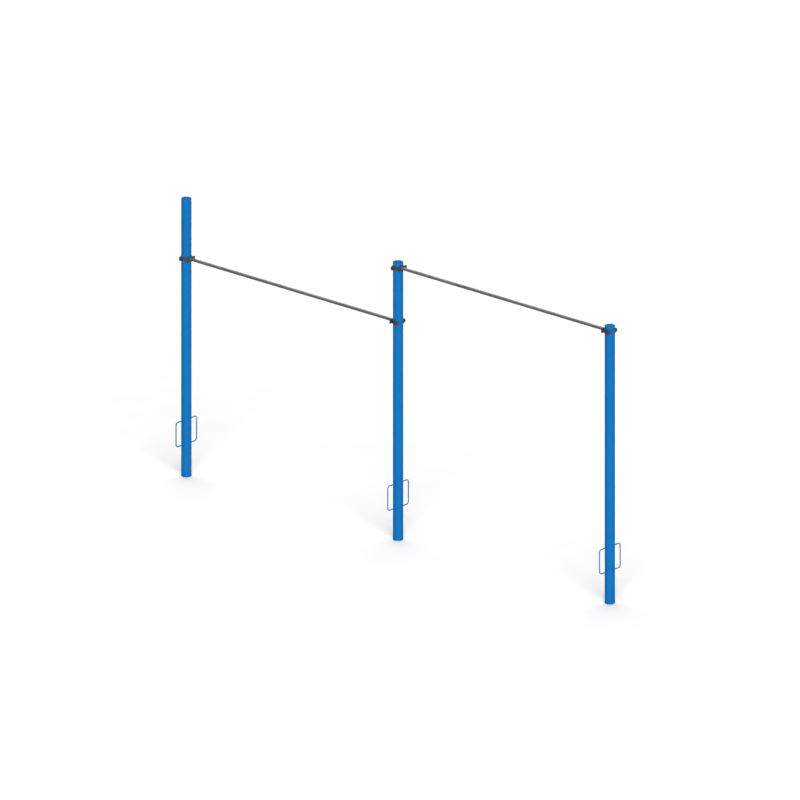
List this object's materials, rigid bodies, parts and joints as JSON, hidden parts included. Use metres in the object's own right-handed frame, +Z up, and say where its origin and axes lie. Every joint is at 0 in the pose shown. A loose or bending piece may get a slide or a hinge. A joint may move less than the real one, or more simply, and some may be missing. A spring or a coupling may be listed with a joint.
{
  "type": "uneven bars",
  "caption": "Outdoor exercise station: round in-ground posts in a row carry a low and a high grip bar end to end, held by bolted clamps that slide along the posts for height.",
  "frame": {"origin": "centre of the middle post's foot, on its underside", "axes": "+X along the row of posts towards the high bar, +Y square to the row, +Z up the posts"},
  "size_m": [6.1126, 0.332, 3.075],
  "materials": {
    "post_paint": "satin powder coat",
    "cap_plastic": "moulded",
    "bar_steel": "satin",
    "clamp_paint": "satin powder coat",
    "fastener_steel": "dark zinc"
  },
  "bodies": {
    "posts": {"low_end_post": "post_paint", "low_end_foot_plate": "post_paint", "low_end_top_cap": "cap_plastic", "low_end_rear_anchor_loop": "post_paint", "low_end_front_anchor_loop": "post_paint", "middle_post": "post_paint", "middle_foot_plate": "post_paint", "middle_top_cap": "cap_plastic", "middle_rear_anchor_loop": "post_paint", "middle_front_anchor_loop": "post_paint", "high_end_post": "post_paint", "high_end_foot_plate": "post_paint", "high_end_top_cap": "cap_plastic", "high_end_rear_anchor_loop": "post_paint", "high_end_front_anchor_loop": "post_paint"},
    "low_bar": {"low_bar": "bar_steel", "low_bar_outer_end_plate": "clamp_paint", "low_bar_outer_saddle": "clamp_paint", "low_bar_outer_keeper_band": "post_paint", "low_bar_outer_left_keeper_lug": "clamp_paint", "low_bar_outer_right_keeper_lug": "clamp_paint", "low_bar_outer_clamp_bolts": "fastener_steel", "low_bar_outer_clamp_nuts": "fastener_steel", "low_bar_outer_clamp_washers": "fastener_steel", "low_bar_inner_end_plate": "clamp_paint", "low_bar_inner_saddle": "clamp_paint", "low_bar_inner_keeper_band": "post_paint", "low_bar_inner_left_keeper_lug": "clamp_paint", "low_bar_inner_right_keeper_lug": "clamp_paint", "low_bar_inner_clamp_bolts": "fastener_steel", "low_bar_inner_clamp_nuts": "fastener_steel", "low_bar_inner_clamp_washers": "fastener_steel"},
    "high_bar": {"high_bar": "bar_steel", "high_bar_outer_end_plate": "clamp_paint", "high_bar_outer_saddle": "clamp_paint", "high_bar_outer_keeper_band": "post_paint", "high_bar_outer_left_keeper_lug": "clamp_paint", "high_bar_outer_right_keeper_lug": "clamp_paint", "high_bar_outer_clamp_bolts": "fastener_steel", "high_bar_outer_clamp_nuts": "fastener_steel", "high_bar_outer_clamp_washers": "fastener_steel", "high_bar_inner_end_plate": "clamp_paint", "high_bar_inner_saddle": "clamp_paint", "high_bar_inner_keeper_band": "post_paint", "high_bar_inner_left_keeper_lug": "clamp_paint", "high_bar_inner_right_keeper_lug": "clamp_paint", "high_bar_inner_clamp_bolts": "fastener_steel", "high_bar_inner_clamp_nuts": "fastener_steel", "high_bar_inner_clamp_washers": "fastener_steel"}
  },
  "joints": [
    {"name": "low_bar_height", "type": "slide", "parent": "posts", "child": "low_bar", "axis": [0, 0, 1], "range_m": [-0.9, 0.25]},
    {"name": "high_bar_height", "type": "slide", "parent": "posts", "child": "high_bar", "axis": [0, 0, 1], "range_m": [-0.25, 0.03]}
  ]
}
